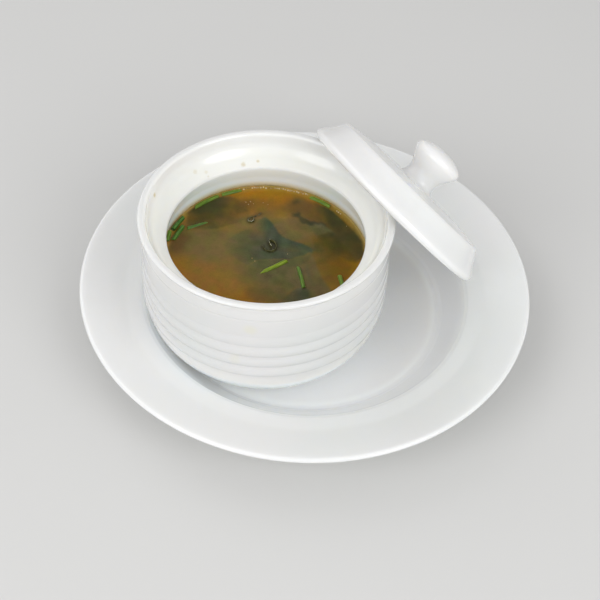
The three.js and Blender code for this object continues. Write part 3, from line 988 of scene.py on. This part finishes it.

# %% [markdown]
# Two curls of seaweed stand up through the surface: a tight loop near the middle and a hooked stem
# behind it. Each is a thin ribbon on edge that follows a smooth path seen from above, with a rounded,
# rippled top edge. Along part of it the top edge carries a painted highlight, a pale line.


# %% Curl the seaweed
CURLS = {
    # node: path as x and y, height of the top at both ends, then from what share of its length to
    # what share the top carries a painted highlight, and how pale it is
    "wakame_curl": (
        [(-1.8, 6.2), (-1.2, 4.8), (0.4, 3.6), (2.4, 3.4), (3.9, 4.7), (4.2, 6.9), (3.5, 8.9), (2.2, 9.9),
         (1.1, 9.2), (1.1, 7.8), (1.7, 6.5), (2, 5.4)],
        (0.5, 1.7), (0.68, 1, 1),
    ),
    "wakame_stem": (
        [(-7.4, 23.3), (-7, 22.3), (-8.1, 21.4), (-9.4, 21.8), (-9.5, 23), (-8.8, 24.2), (-7.4, 25),
         (-5.7, 26), (-3.8, 27.6)],
        (0.9, 0.1), (0, 0.45, 0.7),
    ),
}
RIBBON_THICKNESS = 0.5
RIBBON_DEPTH = 2.2  # below the surface
RIBBON_STEPS = 8
RIBBON_RIPPLE, RIPPLE_TURN = 0.22, 0.75  # height, and radians a step
RIBBON_LEAN = 0.12


def ribbon_rows(points, heights):
    """Along the ribbon: the middle line, the way across, the upper edge's height and the share."""
    line = smooth_line(points, RIBBON_STEPS)
    rows = []
    for index, at in enumerate(line):
        along = (line[min(index + 1, len(line) - 1)] - line[max(index - 1, 0)]).normalized()
        share = index / (len(line) - 1)
        ripple = RIBBON_RIPPLE * math.sin(index * RIPPLE_TURN)
        top = heights[0] + (heights[1] - heights[0]) * share + ripple
        rows.append((at, Vector((-along.y, along.x)), top, share))
    return rows


def ribbon_shape():
    """Ribbons on edge, each closed: down one side, up the other and over a rounded top."""
    shape = bmesh.new()
    glint = shape.verts.layers.float.new("glint")
    half = RIBBON_THICKNESS / 2
    for points, heights, (glint_from, glint_to, paleness) in CURLS.values():
        previous = None
        for at, across, top, share in ribbon_rows(points, heights):
            low = -RIBBON_DEPTH
            section = [(-0.7, low), (-1, low + 0.2 * (top - low)), (-1, top - 0.35), (-0.7, top - 0.12)]
            section += [(0, top)] + [(-side, z) for side, z in reversed(section)]
            lean = RIBBON_LEAN * math.sin(at.x * 1.3 + at.y)
            ring = []
            for side, z in section:
                place = at + across * (side * half + lean * z)
                vert = shape.verts.new(from_soup(place.x, place.y, z))
                # the painted highlight lies on the top edge only
                vert[glint] = paleness if z == top and glint_from <= share <= glint_to else 0.0
                ring.append(vert)
            if previous:
                skin(shape, previous, ring)
            else:
                shape.faces.new(ring)
            previous = ring
        shape.faces.new(list(reversed(previous)))
    return shape


ribbons = keep_piece("wakame_ribbons", ribbon_shape(), wet_wakame, "seaweed", *CURLS)

# %% [markdown]
# The broth fills the pot to its level. Its surface is finely ringed, because the colour and the small
# climb at the wall are kept on its points, and below it the body follows the inside of the pot.

# %% Shape the body of broth
BROTH_SIDES = 420
BROTH_STEP = 0.38
BROTH_REACH = 46.5  # a little into the wall, so that no gap shows
BROTH_EDGE_IN, BROTH_EDGE_DOWN = 0.25, 0.4  # how the edge of the surface is broken


def broth_body():
    rings = round(SOUP_RADIUS / BROTH_STEP)
    rows = [(SOUP_RADIUS * ring / rings, 0) for ring in range(1, rings)]
    rows += [(BROTH_REACH - BROTH_EDGE_IN, 0), (BROTH_REACH, -BROTH_EDGE_DOWN)]
    rows += [(r, z + SOUP_DEPTH) for r, z in arc(TURN, -BELLY_DEPTH, BELLY - TURN, 0, -84, 20)]
    shape = bmesh.new()
    turns = [2 * math.pi * side / BROTH_SIDES for side in range(BROTH_SIDES)]
    previous = [shape.verts.new(from_soup(0, 0))]
    for r, z in rows:
        ring = [shape.verts.new(from_soup(r * math.cos(t), r * math.sin(t), z)) for t in turns]
        skin(shape, previous, ring)
        previous = ring
    deepest = -BELLY_DEPTH - (BELLY - TURN) + SOUP_DEPTH
    foot = shape.verts.new(POT_AXIS + Vector((0, 0, deepest * MM + SOUP_LEVEL)))
    skin(shape, previous, [foot])
    return keep_mesh("broth", shape)


# %% [markdown]
# Miso broth is cloudy: a leaf just under the surface shows its own colour, and one deeper fades into
# the broth. Real light scattering in a closed pot would render slowly and noisily, so the surface
# works the fading out instead. From every point of it a ray is cast straight down to the sunk leaves,
# and what it meets is mixed in by its depth. Clouds of settled miso are laid in from a list, the soft
# edges come from a blur, and the colour is kept on the points, so it is the same from every side.

# %% Work out the colour of the broth
BROTH_CLEAR = screen(170, 118, 10)
MISO_GOLD = screen(130, 98, 32)
MISO_OCHRE = screen(154, 113, 44)
MISO_BROWN = screen(114, 89, 38)
MISO_RUST = screen(100, 76, 33)
MISO_KHAKI = screen(123, 105, 57)
MISO_SAGE = screen(110, 98, 54)
MISO_OLIVE = screen(94, 80, 29)
MISO_AMBER = screen(125, 93, 24)
CLOUDS = [
    # x and y, reach both ways, strength and colour
    ((-5, 31.5), (17, 9), 0.85, MISO_GOLD),
    ((13, 32), (12, 8), 0.9, MISO_BROWN),
    ((-22, -16), (22, 16), 1, MISO_OCHRE),
    ((-24, 6), (31, 19), 1, MISO_KHAKI),
    ((-41, 7), (6, 11), 0.8, MISO_RUST),
    ((12, 18), (17, 12), 0.95, MISO_KHAKI),
    ((-8, 20), (14, 8), 0.9, MISO_KHAKI),
    ((-15, 33), (8, 6), 0.6, MISO_RUST),
    ((21, 29), (7, 9), 0.6, MISO_RUST),
    ((26, 6), (14, 17), 0.95, MISO_OLIVE),
    ((31, -8), (12, 13), 0.95, MISO_AMBER),
    ((1, -8), (21, 19), 0.95, MISO_SAGE),
    ((1, -25), (13, 7), 0.8, MISO_BROWN),
]
WEED_SHADOW = screen(56, 50, 26)
RIM_GOLD = screen(180, 142, 62)
FILM = screen(178, 148, 84)
CLOUD_CORE, CLOUD_RIM = 0.3, 1.1  # of a cloud's reach
CLOUD_DRIFT = 14  # how far noise pushes the clouds about
GOLD_EDGE, GOLD_STRENGTH = (42.3, 45.3), 0.95  # from the pot's axis
FILM_EDGE = (44.8, 46.1)
LEAF_HALO, LEAF_HALO_STRENGTH = (8, 1), 0.35  # from a leaf
WEED_HALO, WEED_HALO_STRENGTH = (1.4, 0.3), 0.6  # from a ribbon
CLEARNESS = 6  # the depth at which a leaf has faded to about a third
MURK = 1.5  # above 1, shallow leaves stay clearer
LOOK_REACH = 20
LOOK_GAP = 0.6  # more than a leaf's thickness
BLUR_ROUNDS = 3


def shape_of(tree, thing):
    return shape_node(tree, "ObjectInfo", {"Object": thing}, "Geometry")


def away_from(tree, target):
    return shape_node(tree, "Proximity", {"Target": target}, "Distance", target_element="FACES")


def leaf_tone(tree):
    named = {"Name": "leaf_tone"}
    return shape_node(tree, "InputNamedAttribute", named, "Attribute", data_type="FLOAT_COLOR")


def seen_below(tree, sunk, start):
    """Look straight down from start: whether a leaf is met, where, how far, and its colour."""
    look = {
        "Target Geometry": sunk, "Attribute": leaf_tone(tree), "Source Position": start,
        "Ray Direction": (0, 0, -1), "Ray Length": LOOK_REACH * MM,
    }
    return put(
        tree, "GeometryNodeRaycast", look, data_type="FLOAT_COLOR", mapping="INTERPOLATED"
    ).outputs


def cloud_colour(tree, local, flat):
    """Clouds of miso on clear broth, their edges pushed about by noise."""
    push = speckle(tree, local, 70, 3, output="Color")
    shift = vector_maths(tree, "SUBTRACT", push, (0.5, 0.5, 0.5))
    drift = vector_maths(tree, "MULTIPLY", shift, (CLOUD_DRIFT * MM, CLOUD_DRIFT * MM, 0))
    drifted = vector_maths(tree, "ADD", flat, drift)
    colour = BROTH_CLEAR
    for (x, y), (across, along), strength, tone in CLOUDS:
        offset = vector_maths(tree, "SUBTRACT", drifted, (x * MM, y * MM, 0))
        scaled = vector_maths(tree, "DIVIDE", offset, (across * MM, along * MM, 1))
        away = vector_maths(tree, "LENGTH", scaled)
        amount = remap(tree, away, CLOUD_CORE, CLOUD_RIM, strength, 0, smooth=True)
        colour = blend(tree, amount, colour, tone)
    return colour


def leaf_colour(tree, colour, sunk, here, clearness):
    """Mix in the leaves: a halo beside them, and what two looks down meet."""
    nearest = {"Mesh": sunk, "Value": leaf_tone(tree)}
    beside = shape_node(tree, "SampleNearestSurface", nearest, "Value", data_type="FLOAT_COLOR")
    halo = soft_edge(tree, away_from(tree, sunk), LEAF_HALO, most=LEAF_HALO_STRENGTH)
    colour = blend(tree, halo, colour, beside)
    # the second look starts just under what the first one met
    first = seen_below(tree, sunk, here)
    under = vector_maths(tree, "ADD", first["Hit Position"], (0, 0, -LOOK_GAP * MM))
    second = seen_below(tree, sunk, under)
    far = maths(tree, "ADD", first["Hit Distance"], second["Hit Distance"])
    for looked, depth in ((second, far), (first, first["Hit Distance"])):
        murk = maths(tree, "POWER", maths(tree, "DIVIDE", depth, clearness), MURK)
        fading = maths(tree, "EXPONENT", maths(tree, "MULTIPLY", murk, -1))
        shows = maths(tree, "MULTIPLY", fading, looked["Is Hit"])
        colour = blend(tree, shows, colour, looked["Attribute"])
    return colour


# %% [markdown]
# The tree puts these together, and lifts the surface a little where it clings: the broth climbs in a
# small meniscus at the wall, and a smaller one rings every chive. Where a ribbon goes on under the
# surface it darkens the broth beside it, and a pale film lies along the wall.

# %% Build the broth's tree
MENISCUS, MENISCUS_WIDTH = 1.3, 1.1  # at the wall
CLING, CLING_WIDTH = 0.25, 0.5  # round a chive
SURFACE_SLACK = 0.05  # how far below the level a point still counts as surface


def climb_near(tree, away, height, width):
    """The height of a meniscus, which dies away over its width."""
    fading = maths(tree, "EXPONENT", maths(tree, "DIVIDE", away, -width * MM))
    return maths(tree, "MULTIPLY", fading, height * MM)


def broth_tree():
    sockets = {
        "Leaves": "Object", "Chives": "Object", "Ribbons": "Object", "Axis": "Vector", "Level": "Float",
        "Clearness": "Float", "Finish": "Material",
    }
    tree, given = new_shape_tree("Broth with sunk leaves", sockets)
    here = shape_node(tree, "InputPosition")
    local = vector_maths(tree, "SUBTRACT", here, given["Axis"])
    flat = vector_maths(tree, "MULTIPLY", local, (1, 1, 0))
    from_axis = vector_maths(tree, "LENGTH", flat)

    colour = cloud_colour(tree, local, flat)
    gold = soft_edge(tree, from_axis, GOLD_EDGE, most=GOLD_STRENGTH)
    colour = blend(tree, gold, colour, RIM_GOLD)
    colour = leaf_colour(tree, colour, shape_of(tree, given["Leaves"]), here, given["Clearness"])
    beside = away_from(tree, shape_of(tree, given["Ribbons"]))
    shadow = soft_edge(tree, beside, WEED_HALO, most=WEED_HALO_STRENGTH)
    colour = blend(tree, shadow, colour, WEED_SHADOW)
    blur = {"Value": colour, "Iterations": BLUR_ROUNDS}
    soft = shape_node(tree, "BlurAttribute", blur, data_type="FLOAT_COLOR")
    soft = blend(tree, soft_edge(tree, from_axis, FILM_EDGE), soft, FILM)
    store = {"Geometry": given["Geometry"], "Name": "broth_tone", "Value": soft}
    kept = shape_node(tree, "StoreNamedAttribute", store, data_type="FLOAT_COLOR", domain="POINT")

    level = put(tree, "ShaderNodeSeparateXYZ", {0: here}).outputs["Z"]
    lowest = maths(tree, "SUBTRACT", given["Level"], SURFACE_SLACK * MM)
    surface = maths(tree, "GREATER_THAN", level, lowest)
    to_wall = maths(tree, "SUBTRACT", BROTH_REACH * MM, from_axis)
    to_chive = away_from(tree, shape_of(tree, given["Chives"]))
    at_wall = climb_near(tree, to_wall, MENISCUS, MENISCUS_WIDTH)
    lift = maths(tree, "ADD", at_wall, climb_near(tree, to_chive, CLING, CLING_WIDTH))
    offset = put(tree, "ShaderNodeCombineXYZ", {"Z": lift}).outputs[0]
    raised = shape_node(tree, "SetPosition", {"Geometry": kept, "Selection": surface, "Offset": offset})
    end_tree(tree, raised, given["Finish"])
    return tree


# %% [markdown]
# The finish is wet and glossy. It takes the kept colour and breaks it up with what is too fine for
# the points: patches that lean to green or to red, drifting shade, and pale grains of miso.

# %% Fill the pot
GREENER, REDDER = (0.8, 0.89, 0.77, 1), (0.91, 0.84, 0.93, 1)
SHADED, LIT = (0.8, 0.8, 0.82, 1), (1.3, 1.3, 1.4, 1)


def broth_finish():
    finish, tree, shader = new_finish("miso_broth", 0.07, 1.34)
    shader.inputs["Specular IOR Level"].default_value = 0.3
    where = object_place(tree)
    tone = kept_value(tree, "broth_tone", "Color")
    drift = remap(tree, speckle(tree, where, 260, 5, 0.6, 0.6), 0.3, 0.7)
    grains = remap(tree, speckle(tree, where, 1400, 2), 0.35, 0.65)
    patch = remap(tree, speckle(tree, where, 170, 3), 0.4, 0.6)
    tone = blend(tree, 1.0, tone, blend(tree, patch, GREENER, REDDER), "MULTIPLY")
    colour = blend(tree, drift, blend(tree, 1.0, tone, SHADED, "MULTIPLY"), tone)
    flecks = maths(tree, "MULTIPLY", grains, 0.25)
    colour = blend(tree, flecks, colour, blend(tree, 1.0, tone, LIT, "MULTIPLY"))
    wire_up(tree, shader, colour, speckle(tree, where, 90, 2), 0.2, 0.4)
    return finish


broth_values = {
    "Leaves": leaves, "Chives": chives, "Ribbons": ribbons, "Axis": POT_AXIS, "Level": SOUP_LEVEL,
    "Clearness": CLEARNESS * MM, "Finish": broth_finish(),
}
broth = grow("broth", broth_tree(), broth_values, broth_body())
finish_piece(broth, "soup", "soup")

# %% [markdown]
# A row of small bubbles clings to the back wall, where the broth was poured, and a few single ones
# drift on the surface; some of these stand for small glints on the surface. They are little balls,
# half sunk, in one piece. Each remembers how pale it is: pale is a painted highlight on the ones that
# catch the light, and the others show the gold of the broth through them.

# %% Blow the bubbles
ROW_FROM, ROW_TO, ROW_STEP = 68, 111, 1.15  # degrees round the pot's axis
ROW_RADIUS = 45.3
LONE_BUBBLES = [
    # x, y and radius in millimetres, and how pale, a painted highlight
    (-11.5, 34.6, 0.3, 0.15), (-10.2, 33.2, 0.25, 0.2), (-9.4, 35.1, 0.3, 0.15), (-7.9, 33.8, 0.25, 0.1),
    (-3.5, 34.9, 0.25, 0.1), (-1.2, 33.9, 0.25, 0.1), (31, 32.1, 0.35, 0.45), (31.8, 31.3, 0.4, 0.5),
    (32.7, 30.4, 0.35, 0.4), (35.6, 22.6, 0.2, 0.2), (9.6, 2.4, 0.2, 0.3), (-4.6, -3.2, 0.25, 0.2),
    (-6, -1.6, 0.25, 0.1),
]


def bubble_spots():
    luck = random.Random(4)
    angle = ROW_FROM
    while angle < ROW_TO:
        turn_to, reach = math.radians(angle), ROW_RADIUS - luck.uniform(0, 0.5)
        radius, paleness = luck.uniform(0.36, 0.52), luck.uniform(0, 0.6)
        yield reach * math.cos(turn_to), reach * math.sin(turn_to), radius, paleness
        angle += ROW_STEP * luck.uniform(0.9, 1.5)
    yield from LONE_BUBBLES


def bubble_shape():
    shape = bmesh.new()
    pale = shape.verts.layers.float.new("pale")
    for x, y, radius, paleness in bubble_spots():
        climb = MENISCUS * math.exp((math.hypot(x, y) - BROTH_REACH) / MENISCUS_WIDTH)
        place = Matrix.Translation(from_soup(x, y, climb))
        ball = bmesh.ops.create_icosphere(shape, subdivisions=2, radius=radius * MM, matrix=place)
        for vert in ball["verts"]:
            vert[pale] = paleness
    return shape


def bubble_finish():
    finish, tree, shader = new_finish("bubble_skin", 0.08, 1.33)
    paleness = kept_value(tree, "pale")
    # pale is a painted highlight; the gold is the broth seen through the bubble
    wire_up(tree, shader, blend(tree, paleness, screen(150, 116, 54), screen(236, 226, 190)))
    return finish


bubbles = keep_piece("bubbles", bubble_shape(), bubble_finish(), "soup")

# %% [markdown]
# The stage is plain: a pale floor, a soft sky that lights everything a little from all sides, and two
# large soft lights at the front left and right, about thirty degrees up, so that they reach the wall
# of the pot and shine into it. A weaker one between them and one behind open what shadows are left.

# %% Light the stage
SKY_STRENGTH = 0.63
SOFTBOX_SIZE = 1.0  # metres
SOFTBOX_AIM = Vector((0, 0, 0.04))
SOFTBOXES = {
    # place in metres and power in watts
    "Left softbox": ((-0.9, -0.9, 0.8), 8.2),
    "Right softbox": ((0.9, -0.9, 0.8), 8.2),
    "Front softbox": ((0.0, -1.2, 0.7), 1.8),
    "Back softbox": ((-0.7, 0.6, 0.9), 1.8),
}
FLOOR_SIZE = 6.0  # metres

for name, (place, power) in SOFTBOXES.items():
    data = bpy.data.lights.new(name, "AREA")
    data.shape = "DISK"
    data.size = SOFTBOX_SIZE
    data.energy = power
    lamp = bpy.data.objects.new(name, data)
    scene.collection.objects.link(lamp)
    lamp.location = place
    lamp.rotation_euler = (SOFTBOX_AIM - Vector(place)).to_track_quat("-Z", "Y").to_euler()

floor_mesh = bpy.data.meshes.new("floor")
floor_corners = [Vector((x, y, 0)) * FLOOR_SIZE / 2 for x, y in ((-1, -1), (1, -1), (1, 1), (-1, 1))]
floor_mesh.from_pydata(floor_corners, [], [(0, 1, 2, 3)])
floor = link_mesh("floor", floor_mesh)
floor_finish, floor_tree, floor_shader = new_finish("pale_floor", 0.7)
floor_patch = speckle(floor_tree, object_place(floor_tree), 5, 2)
floor_tone = blend(floor_tree, floor_patch, screen(204, 204, 203), screen(208, 208, 207))
wire_up(floor_tree, floor_shader, floor_tone)
floor_mesh.materials.append(floor_finish)

world = bpy.data.worlds.new("Soft sky")
scene.world = world
world.use_nodes = True
sky = world.node_tree.nodes["Background"]
sky.inputs["Color"].default_value = (1, 0.995, 0.99, 1)
sky.inputs["Strength"].default_value = SKY_STRENGTH
print("lights:", list(SOFTBOXES))
